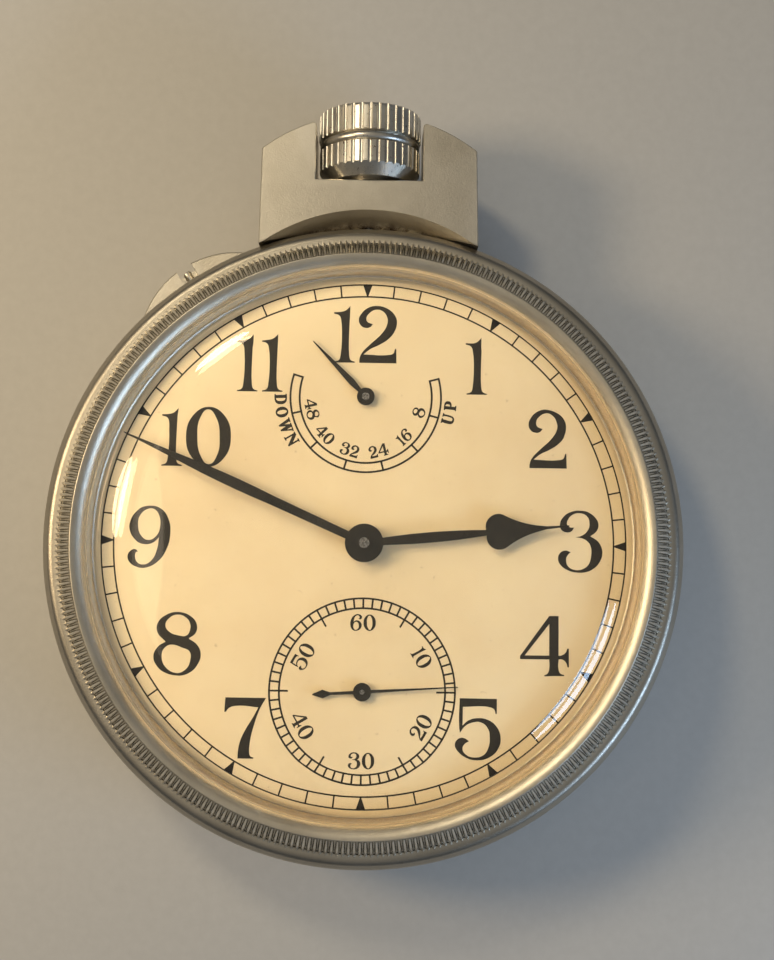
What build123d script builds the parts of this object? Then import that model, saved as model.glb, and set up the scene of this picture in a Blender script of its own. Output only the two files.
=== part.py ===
from build123d import *
import math
import os

# Deck watch with an up-and-down indicator, lying on its back, dial up.
# Millimetres. Origin: dial axis on the flat of the back. +Z out of the dial,
# +Y towards 12 o'clock and the crown, +X towards 3 o'clock.

# ---- driving dimensions -------------------------------------------------
CASE_R = 35.3            # case band
FLANGE_R = 35.2          # smooth flange of the bezel and of the screw back
MILLED_R = 33.5          # foot of their milled bands
NECK_R = 31.9            # screwed necks of the band, front and back
THREAD_GAP = 0.05        # radial clearance of the screwed joints
BORE_R = 30.05           # movement seat
LEDGE_R = 28.7           # movement ledge
BACK_FLAT_R = 30.6       # flat that the watch rests on
BAND_Z = (4.9, 12.45)    # band between the two flanges
BEZEL_Z = (12.5, 14.75)  # flange of the bezel
NECK_Z = (2.6, 16.75)    # ends of the screwed necks
LEDGE_Z = 11.6           # the movement plate stands here
OPENING_R = 29.85        # clear opening of the bezel
SEAT_R = 30.55           # recess of the bezel that holds the crystal
SEAT_Z = (17.05, 18.45)
RIM_TOP = 19.4           # highest edge of the bezel
CRYSTAL_TOP = 23.2
CRYSTAL_WALL = 1.7
STEM_Z = 11.0            # axis of stem and crown
GUARD_Z = (7.4, 14.6)    # crown guard, back and front face
CROWN_Y = (40.8, 48.8)  # crown, underside and top
CROWN_R = 5.8
SLEEVE_Y = (36.8, 42.3)  # tube that the crown turns on
FLUTES = 38
PIN_CLOCK = 124.0        # direction of the hand-setting pin, from +X
PIN_Z = 9.8
PIN_R = 0.47
BOSS_R = 10.9            # swelling of the band round the pin
BOSS_REACH = 37.2
BOSS_SLOT = 1.95        # width of the nail slot
BOSS_SLOT_FLOOR = 8.3

DIAL_R = 29.65
DIAL_Z = (15.4, 16.0)
PLATE_R = 29.9
PLATE_Z = (11.6, 14.4)
BRIDGE_Z = (4.0, 6.4)
BRIDGE_R = 28.2
COCK_Z = (2.6, 4.0)
PIVOT_R = 0.25
PIVOT_GAP = 0.02
JEWEL_R = 1.15
FOOT_R = 1.8
SCREW_R = 0.75
HEAD_R = 1.35
PALLET_SCREW_R = 0.4

# ---- train: tooth counts, modules and the centres they give ---------------
CENTRE_TEETH, THIRD_LEAVES, M_THIRD = 80, 10, 0.28
THIRD_TEETH, FOURTH_LEAVES, M_FOURTH = 75, 10, 0.29
FOURTH_TEETH, ESCAPE_LEAVES, M_ESCAPE = 80, 8, 0.20
BARREL_TEETH, CENTRE_LEAVES, M_BARREL = 96, 12, 0.27
CANNON_LEAVES, MINUTE_TEETH, M_MINUTE = 12, 36, 0.20
MINUTE_LEAVES, HOUR_TEETH, M_HOUR = 10, 40, 0.192
SETTING_TEETH = 24
ARBOR_LEAVES, IDLER_TEETH, M_IDLER = 12, 60, 0.20
IDLER_LEAVES, UPDOWN_TEETH, M_UPDOWN = 20, 42, 0.25
WINDING_TEETH, RATCHET_TEETH = 40, 60
CROWN_WHEEL_TEETH, PINION_TEETH = 30, 18
ESCAPE_TEETH = 15
ESCAPE_R = 3.4


def polar(radius, degrees, origin=(0.0, 0.0)):
    turn = math.radians(degrees)
    return (origin[0] + radius * math.cos(turn), origin[1] + radius * math.sin(turn))


def bearing(origin, target):
    return math.degrees(math.atan2(target[1] - origin[1], target[0] - origin[0]))


def meeting_point(a, radius_a, b, radius_b, side):
    """The point at the two given distances from a and b, on one side of a to b."""
    span = math.dist(a, b)
    along = (span ** 2 + radius_a ** 2 - radius_b ** 2) / (2 * span)
    across = math.sqrt(radius_a ** 2 - along ** 2)
    foot = polar(along, bearing(a, b), a)
    return polar(across, bearing(a, b) + 90 * side, foot)


def spacing(module, teeth_a, teeth_b):
    return module * (teeth_a + teeth_b) / 2


CENTRE = (0.0, 0.0)
FOURTH = (0.0, -15.8)
UPDOWN = (-0.05, 15.8)
THIRD = meeting_point(CENTRE, spacing(M_THIRD, CENTRE_TEETH, THIRD_LEAVES),
                      FOURTH, spacing(M_FOURTH, THIRD_TEETH, FOURTH_LEAVES), 1)
ESCAPE = polar(spacing(M_ESCAPE, FOURTH_TEETH, ESCAPE_LEAVES), 155, FOURTH)
LEVER_LINE = 140
PALLET = polar(4.6, LEVER_LINE, ESCAPE)
BALANCE = polar(5.8, LEVER_LINE, PALLET)
BALANCE_R = 8.0
BARREL = polar(spacing(M_BARREL, BARREL_TEETH, CENTRE_LEAVES), 35, CENTRE)
MINUTE = polar(spacing(M_MINUTE, CANNON_LEAVES, MINUTE_TEETH), 115, CENTRE)
SETTING_A = polar(spacing(M_MINUTE, MINUTE_TEETH, SETTING_TEETH), 100, MINUTE)
SETTING_B = polar(spacing(M_MINUTE, SETTING_TEETH, SETTING_TEETH), 95, SETTING_A)
IDLER = meeting_point(BARREL, spacing(M_IDLER, ARBOR_LEAVES, IDLER_TEETH),
                      UPDOWN, spacing(M_UPDOWN, IDLER_LEAVES, UPDOWN_TEETH), -1)
CROWN_WHEEL = (0.0, 20.0)
M_WINDING = 2 * math.dist(CROWN_WHEEL, BARREL) / (WINDING_TEETH + RATCHET_TEETH)

# feet of the bridges, each held by one screw
BARREL_FEET = [(5.5, 25.5), (-20.5, 15.5), (25.6, -2.5)]
TRAIN_FEET = [(22.5, -13.5), (8.5, -24.5), (-8.5, -24.2)]
COCK_FOOT = polar(26.65, bearing(CENTRE, BALANCE))
PALLET_FEET = [polar(4.7, LEVER_LINE + 90, PALLET), polar(4.7, LEVER_LINE - 90, PALLET)]
CASE_SCREWS = [polar(27.6, 160), polar(27.6, 340)]
DIAL_FEET = [polar(27.3, degrees) for degrees in (60, 180, 300)]


# ---- shapes used again and again ------------------------------------------
def cylinder(radius, z0, z1, at=CENTRE):
    upright = Cylinder(radius, z1 - z0, align=(Align.CENTER, Align.CENTER, Align.MIN))
    return Pos(at[0], at[1], z0) * upright


def ring(outer, inner, z0, z1, at=CENTRE):
    return cylinder(outer, z0, z1, at) - cylinder(inner, z0 - 1, z1 + 1, at)


def along_y(radius, y0, y1, z=STEM_Z, x=0.0):
    lying = Cylinder(radius, y1 - y0, align=(Align.CENTER, Align.CENTER, Align.MIN))
    return Pos(x, y0, z) * Rot(-90, 0, 0) * lying


def block(x0, x1, y0, y1, z0, z1):
    middle = ((x0 + x1) / 2, (y0 + y1) / 2, (z0 + z1) / 2)
    return Pos(*middle) * Box(x1 - x0, y1 - y0, z1 - z0)


def plate_of(sketch, z0, z1):
    return Pos(0, 0, z0) * extrude(sketch, amount=z1 - z0)


def outline(points):
    """A face from points. A pair of points stands for an arc: via the first, to the second."""
    edges = []
    here = points[0]
    for step in points[1:] + [points[0]]:
        if isinstance(step[0], tuple):
            edges.append(ThreePointArc(here, step[0], step[1]))
            here = step[1]
        else:
            edges.append(Line(here, step))
            here = step
    return make_face(edges)


def turned(points):
    """A solid of revolution about Z from points (radius, height)."""
    return revolve(Plane.XZ * outline(points), Axis.Z)


def capsule(a, b, width):
    """A flat bar with round ends between two points."""
    length = math.dist(a, b)
    middle = ((a[0] + b[0]) / 2, (a[1] + b[1]) / 2)
    bar = Rectangle(length, width)
    ends = Pos(length / 2, 0) * Circle(width / 2) + Pos(-length / 2, 0) * Circle(width / 2)
    return Pos(*middle) * Rot(0, 0, bearing(a, b)) * (bar + ends)


def mesh_phase(phase, teeth, centre, other, other_teeth):
    """Phase of a second gear whose gap takes the first gear's tooth on the line of centres."""
    line = bearing(centre, other)
    part = ((line - phase) * teeth / 360) % 1
    return line + 180 - (0.5 - part) * 360 / other_teeth


def toothed_disc(teeth, module, z0, z1, at, phase, full=0.42):
    """Straight-flanked teeth with running backlash."""
    pitch = module * teeth / 2
    step = 360 / teeth
    corners = [(pitch - 1.15 * module, -0.30), (pitch + 0.8 * module, -full / 4),
               (pitch + 0.8 * module, full / 4), (pitch - 1.15 * module, 0.30)]
    points = [polar(radius, phase + step * (tooth + part))
              for tooth in range(teeth) for radius, part in corners]
    return Pos(*at, z0) * extrude(make_face(Polyline(*points, close=True)), amount=z1 - z0)


def crossings(outer, inner, arms, width, z0, z1, at, phase=0.0):
    """The windows between the arms of a wheel."""
    windows = Circle(outer) - Circle(inner)
    for arm in range(arms):
        spoke = Pos(outer / 2, 0) * Rectangle(outer, width)
        windows -= Rot(0, 0, phase + 360 / arms * arm) * spoke
    return Pos(*at, z0 - 1) * extrude(windows, amount=z1 - z0 + 2)


def wheel(teeth, module, z0, z1, at, phase, arms=5, hub=1.3, arm=0.8, rim=0.9):
    disc = toothed_disc(teeth, module, z0, z1, at, phase)
    inside = module * teeth / 2 - 1.15 * module - rim
    return disc - crossings(inside, hub, arms, arm, z0, z1, at, phase)


def spiral_ribbon(r0, pitch, turns, width, z0, z1, at, start=0.0):
    """A flat spring: the strip between two spirals, each drawn as half circles that grow."""
    def spiral(offset):
        ends = [(-1) ** k * (r0 + offset + pitch * k / 2) for k in range(2 * turns + 1)]
        return [ThreePointArc((a, 0), ((a + b) / 2, (a - b) / 2), (b, 0)) for a, b in zip(ends, ends[1:])]
    inner, outer = spiral(-width / 2), spiral(width / 2)
    near, far = Line(inner[0] @ 0, outer[0] @ 0), Line(inner[-1] @ 1, outer[-1] @ 1)
    strip = make_face(inner + outer + [near, far])
    return Pos(*at, z0) * Rot(0, 0, start) * extrude(strip, amount=z1 - z0)


def slotted_screw(at, head_z0, head_z1, tip_z, head_r=HEAD_R, shank_r=SCREW_R):
    """Head towards the back of the watch, shank towards the dial."""
    screw = cylinder(head_r, head_z0, head_z1, at) + cylinder(shank_r, head_z1, tip_z, at)
    slot = Pos(at[0], at[1], head_z0) * Box(3 * head_r, 0.28, 0.5)
    return screw - slot


# ---- case -----------------------------------------------------------------
def case_band():
    z0, z1 = BAND_Z
    wall = NECK_R - 2.3
    body = turned([
        (wall, NECK_Z[0]), (NECK_R, NECK_Z[0]), (NECK_R, z0), (CASE_R - 0.2, z0),
        (CASE_R, z0 + 0.2), (CASE_R, z1 - 0.2), (CASE_R - 0.2, z1), (NECK_R, z1),
        (NECK_R, NECK_Z[1]), (BORE_R, NECK_Z[1]), (BORE_R, LEDGE_Z), (LEDGE_R, LEDGE_Z),
        (LEDGE_R, 10.0), (wall, 10.0)])
    # swelling round the hand-setting pin, with a slot for the finger nail
    z0, z1 = z0 + 1.2, z1 - 0.35
    boss = cylinder(BOSS_R, z0, z1, polar(BOSS_REACH - BOSS_R, PIN_CLOCK)) - cylinder(NECK_R, 0, 20)
    boss = chamfer(boss.edges().filter_by(GeomType.CIRCLE).filter_by(
        lambda edge: abs(edge.radius - BOSS_R) < 0.01), 0.15)
    body += boss
    turn = Rot(0, 0, PIN_CLOCK - 90)
    body -= turn * block(-BOSS_SLOT / 2, BOSS_SLOT / 2, CASE_R + 0.1, CASE_R + 4, BOSS_SLOT_FLOOR, z1 + 1)
    body -= turn * along_y(PIN_R + 0.03, LEDGE_R - 2, CASE_R + 3, PIN_Z)
    # hole for the stem
    return body - along_y(1.2, LEDGE_R - 2, CASE_R + 2)


def crown_guard():
    shoulder, centre_y, slot, slot_floor = 19.5, 28.55, 5.98, 40.5
    half_foot, half_top, foot_y = 12.2, 12.0, 33.2
    top_at = centre_y + math.sqrt(shoulder ** 2 - half_top ** 2)
    slot_at = centre_y + math.sqrt(shoulder ** 2 - slot ** 2)
    right = (9.2, centre_y + math.sqrt(shoulder ** 2 - 9.2 ** 2))
    left = (-right[0], right[1])
    face = outline([
        (-half_foot, 30.0), (half_foot, 30.0), (half_foot, foot_y), (half_top, top_at),
        (right, (slot, slot_at)), (slot, slot_floor), (-slot, slot_floor), (-slot, slot_at),
        (left, (-half_top, top_at)), (-half_foot, foot_y)])
    guard = plate_of(face, *GUARD_Z)
    guard = fillet(guard.edges().filter_by(Axis.Z).filter_by(
        lambda edge: edge.center().Y > slot_floor + 1), 0.35)
    rims = [edge for edge in guard.edges() if edge.center().Y > foot_y + 0.5
            and min(abs(edge.center().Z - z) for z in GUARD_Z) < 0.01]
    guard = chamfer(rims, 0.1)
    guard -= cylinder(CASE_R, 0, BAND_Z[1]) + cylinder(CASE_R + 0.03, BAND_Z[1] - 1, 20)
    # conical relief that lets the flange of the bezel pass
    relief_depth = 3.1
    relief = Cone(18.4, 20.2, relief_depth, align=(Align.CENTER, Align.CENTER, Align.MIN))
    guard -= Pos(0, 16.9, GUARD_Z[1] - relief_depth) * relief
    guard -= along_y(1.2, 30, 45) + along_y(2.5, SLEEVE_Y[0], 45)
    return guard


def pendant_sleeve():
    return along_y(2.5, *SLEEVE_Y) - along_y(0.95, 30, 50)


def bezel():
    """Smooth flange, milled band up to the rim, and a plain lip that falls towards the crystal."""
    groove = NECK_R + THREAD_GAP
    z0, z1 = BEZEL_Z
    return turned([
        (groove, z0), (FLANGE_R - 0.15, z0), ((FLANGE_R, z0 + 0.6), (FLANGE_R - 0.1, z0 + 1.1)),
        ((FLANGE_R - 0.45, z0 + 1.8), (FLANGE_R - 1.3, z1)), (MILLED_R, z1), (MILLED_R, z1 + 0.4),
        ((32.75, 17.15), (31.2, RIM_TOP - 0.3)), ((31.12, RIM_TOP - 0.08), (30.95, RIM_TOP)),
        (OPENING_R, RIM_TOP - 0.65), (OPENING_R, SEAT_Z[1]), (SEAT_R, SEAT_Z[1]), (SEAT_R, SEAT_Z[0]),
        (groove, SEAT_Z[0])])


def bezel_gasket():
    return ring(NECK_R, SEAT_R + 0.05, NECK_Z[1], SEAT_Z[0])


def dome(rim, rim_z, top):
    """The rest of an arc from (rim, rim_z) over to the axis, level at the top."""
    rise = top - rim_z
    radius = (rim ** 2 + rise ** 2) / (2 * rise)
    return (rim / 2, top - radius + math.sqrt(radius ** 2 - rim ** 2 / 4)), (0, top)


def crystal():
    """Nearly flat dome with a wide round shoulder, standing on a foot in the seat of the bezel."""
    foot_z, step_z = SEAT_Z[0] + 0.15, SEAT_Z[1] - 0.05
    shoulder_at, outer_r = (23.17, 14.92), 7.79      # centre and radius of the shoulder arc
    inner_r = outer_r - CRYSTAL_WALL

    def shoulder(radius, degrees):
        return polar(radius, degrees, shoulder_at)

    outer_rim, inner_rim = shoulder(outer_r, 87.5), shoulder(inner_r, 87.5)
    middle, top = dome(*outer_rim, CRYSTAL_TOP)
    inner_middle, inner_top = dome(*inner_rim, CRYSTAL_TOP - CRYSTAL_WALL)
    return turned([
        (28.75, foot_z), (SEAT_R, foot_z), (SEAT_R, step_z), (OPENING_R - 0.05, step_z),
        shoulder(outer_r, 31.6), (shoulder(outer_r, 60), outer_rim), (middle, top), inner_top,
        (inner_middle, inner_rim), (shoulder(inner_r, 55), shoulder(inner_r, 25))])


def case_back():
    groove = NECK_R + THREAD_GAP
    z0 = 2.75
    body = turned([
        (0, 0), (BACK_FLAT_R, 0), ((31.0, 0.12), (31.35, 0.5)), ((32.8, 1.5), (MILLED_R, z0)),
        (FLANGE_R - 1.3, z0), ((FLANGE_R - 0.4, z0 + 0.4), (FLANGE_R, z0 + 1.2)),
        (FLANGE_R, z0 + 2.1), (groove, z0 + 2.1), (groove, 2.3), (29.6, 2.3), (28.8, 1.2), (0, 1.2)])
    return body - ring(27.2, 26.6, -0.5, 0.2)


def back_gasket():
    return ring(NECK_R, 30.2, 2.3, 2.6)


def crown():
    y0, y1 = CROWN_Y
    axis = Axis((0, 0, STEM_Z), (0, 1, 0))
    bead, flute_r = y0 + 4.25, 0.27
    profile = [(0, y0), (CROWN_R - 1.2, y0), (CROWN_R - 0.12, y0 + 1.25),
               (CROWN_R - 0.1, bead - 0.65), (CROWN_R - 0.5, bead - 0.5),
               ((CROWN_R - 0.15, bead), (CROWN_R - 0.5, bead + 0.5)), (CROWN_R, bead + 0.65),
               (CROWN_R, y1 - 0.55), ((CROWN_R - 0.15, y1 - 0.25), (CROWN_R - 0.5, y1 - 0.12)),
               dome(CROWN_R - 0.5, y1 - 0.12, y1)]
    body = revolve(Pos(0, 0, STEM_Z) * outline(profile), axis)
    # flutes, stopping short of the plain bead
    groove = along_y(flute_r, bead + 0.6, y1 + 1, 0) + along_y(flute_r, y0 - 1, bead - 0.6, 0)
    body -= [Pos(0, 0, STEM_Z) * Rot(0, 360 / FLUTES * k, 0) * Pos(0, 0, CROWN_R + 0.02) * groove
             for k in range(FLUTES)]
    # room for the tube of the guard, and the hole for the stem
    body -= along_y(2.7, y0 - 1, y0 + 1.9)
    return body - along_y(0.9, y0, y1 - 2.1)


def setting_pin():
    turn = Rot(0, 0, PIN_CLOCK - 90)
    rod = along_y(PIN_R, 27.2, BOSS_REACH - 0.15, PIN_Z)
    tip = chamfer(rod.edges().sort_by(Axis.Y)[-1:], 0.12)
    return turn * tip


# ---- dial and hands ---------------------------------------------------------
def dial():
    body = cylinder(DIAL_R, *DIAL_Z)
    for at, radius in ((CENTRE, 1.7), (FOURTH, 0.7), (UPDOWN, 0.8)):
        body -= cylinder(radius, 0, 30, at)
    for foot in DIAL_FEET:
        body += cylinder(0.5, 12.6, DIAL_Z[0], foot)
    return body


def hand(points, z0, z1, hub_r, hub_z, bore, at, clock):
    """A flat hand drawn pointing to 12, with its hub, turned to a clock angle."""
    blade = Pos(0, 0, z0) * extrude(outline(points), amount=z1 - z0)
    body = blade + cylinder(hub_r, hub_z[0], hub_z[1])
    body -= cylinder(bore, 0, 30)
    return Pos(at[0], at[1], 0) * Rot(0, 0, -clock) * body


HOUR_CLOCK, MINUTE_CLOCK, SECOND_CLOCK, UPDOWN_CLOCK = 84.5, 294.0, 86.5, 316.0


def hour_hand():
    head, far = 14.9, 22.0
    points = [(0.28, 0.5), ((0.56, 7.0), (0.3, 13.1)), ((1.62, 13.6), (1.62, 15.3)),
              ((0.95, 16.6), (0.34, 18.6)), (0.16, 19.6), (0.07, far), (-0.07, far), (-0.16, 19.6),
              (-0.34, 18.6), ((-0.95, 16.6), (-1.62, 15.3)), ((-1.62, 13.6), (-0.3, 13.1)),
              ((-0.56, 7.0), (-0.28, 0.5))]
    return hand(points, 16.9, 17.12, 2.05, (16.85, 17.3), 1.35, CENTRE, HOUR_CLOCK)


def minute_hand():
    points = [(0.42, 0.5), (0.5, 11.0), ((0.56, 16.5), (0.42, 20.5)), (0.05, 28.1), (-0.05, 28.1),
              (-0.42, 20.5), ((-0.56, 16.5), (-0.5, 11.0)), (-0.42, 0.5)]
    cap = ring(1.1, 0.57, 17.72, 17.95)
    return hand(points, 17.55, 17.75, 1.9, (17.45, 17.95), 1.0, CENTRE, MINUTE_CLOCK) + cap


def seconds_hand():
    points = [(0.17, 0.5), (0.05, 10.2), (-0.05, 10.2), (-0.17, 0.5), (-0.15, -3.4), (-0.45, -4.2),
              (-0.06, -5.3), (0.06, -5.3), (0.45, -4.2), (0.15, -3.4)]
    return hand(points, 16.4, 16.52, 0.97, (16.3, 16.7), PIVOT_R, FOURTH, SECOND_CLOCK)


def updown_hand():
    points = [(0.16, 0.3), (0.36, 2.2), (0.05, 8.3), (-0.05, 8.3), (-0.36, 2.2), (-0.16, 0.3)]
    return hand(points, 16.4, 16.52, 0.95, (16.3, 16.7), 0.4, UPDOWN, UPDOWN_CLOCK)


# ---- motion work and indicator work, under the dial -------------------------
CANNON_PHASE = 10.0
MINUTE_PHASE = mesh_phase(CANNON_PHASE, CANNON_LEAVES, CENTRE, MINUTE, MINUTE_TEETH)
SETTING_A_PHASE = mesh_phase(MINUTE_PHASE, MINUTE_TEETH, MINUTE, SETTING_A, SETTING_TEETH)
SETTING_B_PHASE = mesh_phase(SETTING_A_PHASE, SETTING_TEETH, SETTING_A, SETTING_B, SETTING_TEETH)
HOUR_PHASE = mesh_phase(0.0, MINUTE_LEAVES, MINUTE, CENTRE, HOUR_TEETH)


def cannon_pinion():
    body = cylinder(1.0, 14.5, 17.7) + toothed_disc(
        CANNON_LEAVES, M_MINUTE, 14.5, 15.0, CENTRE, CANNON_PHASE)
    return body - cylinder(0.55, 10, 30)


def hour_wheel():
    body = toothed_disc(HOUR_TEETH, M_HOUR, 15.04, 15.3, CENTRE, HOUR_PHASE)
    return body + cylinder(1.35, 15.04, 17.3) - cylinder(1.05, 10, 30)


def stud_wheel(teeth, at, phase, z0, z1):
    return toothed_disc(teeth, M_MINUTE, z0, z1, at, phase)


def minute_wheel():
    body = stud_wheel(MINUTE_TEETH, MINUTE, MINUTE_PHASE, 14.6, 14.92)
    body += toothed_disc(MINUTE_LEAVES, M_HOUR, 14.92, 15.32, MINUTE, 0.0)
    return body + cylinder(0.3, 13.0, 14.6, MINUTE)


def setting_wheel():
    body = stud_wheel(SETTING_TEETH, SETTING_A, SETTING_A_PHASE, 14.6, 14.9)
    return body + cylinder(0.4, 13.0, 14.6, SETTING_A)


def setting_transfer_wheel():
    body = stud_wheel(SETTING_TEETH, SETTING_B, SETTING_B_PHASE, 14.6, 14.9)
    return body + cylinder(0.4, 13.0, 14.6, SETTING_B)


ARBOR_PHASE = 0.0
IDLER_PHASE = mesh_phase(ARBOR_PHASE, ARBOR_LEAVES, BARREL, IDLER, IDLER_TEETH)
UPDOWN_PHASE = mesh_phase(0.0, IDLER_LEAVES, IDLER, UPDOWN, UPDOWN_TEETH)


def indicator_idler():
    body = wheel(IDLER_TEETH, M_IDLER, 14.5, 14.8, IDLER, IDLER_PHASE, hub=2.9)
    body += toothed_disc(IDLER_LEAVES, M_UPDOWN, 14.8, 15.3, IDLER, 0.0)
    return body + cylinder(0.4, 12.4, 14.6, IDLER)


def indicator_wheel():
    body = toothed_disc(UPDOWN_TEETH, M_UPDOWN, 14.97, 15.27, UPDOWN, UPDOWN_PHASE)
    return body + cylinder(0.4, 12.4, 16.8, UPDOWN)


# ---- going train -------------------------------------------------------------
CENTRE_PHASE = 4.0
THIRD_PHASE = mesh_phase(CENTRE_PHASE, CENTRE_TEETH, CENTRE, THIRD, THIRD_LEAVES)
FOURTH_PHASE = mesh_phase(0.0, THIRD_TEETH, THIRD, FOURTH, FOURTH_LEAVES)
ESCAPE_PHASE = mesh_phase(0.0, FOURTH_TEETH, FOURTH, ESCAPE, ESCAPE_LEAVES)
BARREL_PHASE = mesh_phase(0.0, CENTRE_LEAVES, CENTRE, BARREL, BARREL_TEETH)


def pivots(at, z0, z1, staff_r=0.6, shoulder=0.1):
    """A train arbor between plate and bridge, with a fine pivot at each end."""
    low, high = BRIDGE_Z[1] + shoulder, PLATE_Z[0] - shoulder
    return cylinder(staff_r, low, high, at) + cylinder(PIVOT_R, z0, z1, at)


def centre_wheel():
    body = wheel(CENTRE_TEETH, M_THIRD, 7.35, 7.85, CENTRE, CENTRE_PHASE, hub=2.2)
    body += toothed_disc(CENTRE_LEAVES, M_BARREL, 8.1, 9.9, CENTRE, 0.0)
    body += cylinder(1.0, BRIDGE_Z[1] + 0.1, PLATE_Z[0] - 0.1) + cylinder(0.55, 4.2, 18.25)
    return body


def third_wheel():
    body = wheel(THIRD_TEETH, M_FOURTH, 6.7, 7.05, THIRD, 0.0, hub=1.5)
    body += toothed_disc(THIRD_LEAVES, M_THIRD, 7.05, 8.1, THIRD, THIRD_PHASE)
    return body + pivots(THIRD, 4.2, 12.2)


def fourth_wheel():
    body = wheel(FOURTH_TEETH, M_ESCAPE, 8.6, 9.0, FOURTH, 0.0, hub=1.2, arm=0.6, rim=0.7)
    body += toothed_disc(FOURTH_LEAVES, M_FOURTH, 6.52, 7.5, FOURTH, FOURTH_PHASE)
    return body + pivots(FOURTH, 4.2, 16.8)


def escape_wheel():
    points = []
    for k in range(ESCAPE_TEETH):
        base = 360 / ESCAPE_TEETH * k
        points += [polar(ESCAPE_R, base), polar(ESCAPE_R, base + 3.5), polar(ESCAPE_R - 1.0, base + 9),
                   polar(ESCAPE_R - 1.0, base + 19)]
    body = Pos(*ESCAPE, 10.2) * extrude(make_face(Polyline(*points, close=True)), amount=0.4)
    body -= crossings(1.9, 0.8, 4, 0.5, 10.2, 10.6, ESCAPE)
    body += toothed_disc(ESCAPE_LEAVES, M_ESCAPE, 8.3, 9.4, ESCAPE, ESCAPE_PHASE)
    return body + pivots(ESCAPE, 4.2, 12.2, 0.45)


def barrel_drum():
    body = cylinder(12.1, 8.2, 11.2, BARREL) + toothed_disc(
        BARREL_TEETH, M_BARREL, 8.2, 9.2, BARREL, BARREL_PHASE)
    return body - cylinder(11.7, 8.0, 10.8, BARREL) - cylinder(1.55, 8, 12, BARREL)


def barrel_cover():
    return ring(11.7, 1.55, 8.2, 8.6, BARREL)


def mainspring():
    return spiral_ribbon(3.0, 0.85, 10, 0.22, 8.75, 10.6, BARREL)


def barrel_arbor():
    body = cylinder(1.5, 8.2, 11.2, BARREL) + cylinder(2.5, 8.8, 10.6, BARREL)
    body += cylinder(1.2, 3.9, 14.5, BARREL) + Pos(*BARREL, 3.5) * Box(1.6, 1.6, 1.2)
    body += toothed_disc(ARBOR_LEAVES, M_IDLER, 14.45, 14.85, BARREL, ARBOR_PHASE)
    return body - cylinder(0.45, 2, 6, BARREL)


# ---- escapement and balance ---------------------------------------------------
PALLET_STONES = [(-2.55, 3.55), (-2.55, -3.55)]


def stones_at_origin():
    return [Pos(x, y, 10.4) * Box(0.5, 0.4, 0.3) for x, y in PALLET_STONES]


def pallet_fork():
    """Drawn with the escape wheel towards -X and the balance towards +X."""
    shape = capsule((0, 0), (3.3, 0), 0.6) + Circle(0.75)
    for x, y in PALLET_STONES:
        elbow = (x * 0.4, y * 0.85)
        shape += capsule((0, 0), elbow, 0.6) + capsule(elbow, (x, y), 0.55)
    shape += Pos(3.45, 0) * Rectangle(0.5, 1.3)
    shape -= Pos(3.65, 0) * Rectangle(0.6, 0.5)
    lever = Pos(0, 0, 10.15) * extrude(shape, amount=0.5)
    lever += Pos(0, 0, 9.5) * Cylinder(0.4, 2.0, align=(Align.CENTER, Align.CENTER, Align.MIN))
    lever += Pos(0, 0, 8.4) * Cylinder(PIVOT_R, 3.8, align=(Align.CENTER, Align.CENTER, Align.MIN))
    for stone in stones_at_origin():
        lever -= stone
    return Pos(*PALLET, 0) * Rot(0, 0, LEVER_LINE) * lever


def pallet_stones():
    return [Pos(*PALLET, 0) * Rot(0, 0, LEVER_LINE) * stone for stone in stones_at_origin()]


def balance_wheel():
    body = ring(BALANCE_R - 0.7, BALANCE_R - 1.7, 4.6, 5.6, BALANCE)
    arm = Pos(*BALANCE, 5.35) * Rot(0, 0, 30) * Box(2 * (BALANCE_R - 1.2), 1.1, 0.5)
    body += arm + cylinder(1.6, 5.1, 5.6, BALANCE)
    return body - cylinder(0.6, 0, 20, BALANCE) - balance_screws()


def balance_screws():
    screws = []
    for k in range(14):
        lying = along_y(0.45, BALANCE_R - 0.7, BALANCE_R, 5.1)
        lying += along_y(0.2, BALANCE_R - 1.2, BALANCE_R - 0.6, 5.1)
        screws.append(Pos(*BALANCE, 0) * Rot(0, 0, 360 / 14 * (k + 0.5)) * lying)
    return screws


def balance_staff():
    staff = cylinder(0.6, 4.4, 11.0, BALANCE) + cylinder(0.15, 3.0, 12.0, BALANCE)
    staff += ring(1.0, 0.5, 4.12, 4.4, BALANCE) + cylinder(0.6, 4.12, 4.5, BALANCE)
    staff += cylinder(2.1, 9.3, 9.8, BALANCE)
    jewel = polar(1.75, LEVER_LINE + 180, BALANCE)
    return staff + cylinder(0.2, 9.7, 10.6, jewel)


def hairspring():
    return spiral_ribbon(1.35, 0.42, 8, 0.1, 4.14, 4.36, BALANCE, 20)


def regulator():
    """Pointer over the cock, with curb pins beyond the coils of the hairspring."""
    z0, z1 = 2.2, 2.57
    foot_line = bearing(BALANCE, COCK_FOOT)
    shape = Circle(2.7) + Rot(0, 0, foot_line) * (capsule((2, 0), (8.6, 0), 0.5))
    shape += Rot(0, 0, foot_line + 180) * capsule((2, 0), (5.3, 0), 0.9)
    body = Pos(*BALANCE, z0) * extrude(shape, amount=z1 - z0)
    for side in (-0.28, 0.28):
        pin = Rot(0, 0, foot_line + 180) * Pos(5.2, side, z0)
        body += Pos(*BALANCE, 0) * pin * Cylinder(0.08, 2.1, align=(Align.CENTER, Align.CENTER, Align.MIN))
    return body - cylinder(1.7, 0, 5, BALANCE)


# ---- winding and hand setting ---------------------------------------------------
def stem():
    body = along_y(0.9, 23.8, 46.5) + Pos(0, 21.2, STEM_Z) * Box(1.2, 4.6, 1.2)
    return body + along_y(0.6, 17.6, 19.2)


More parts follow.
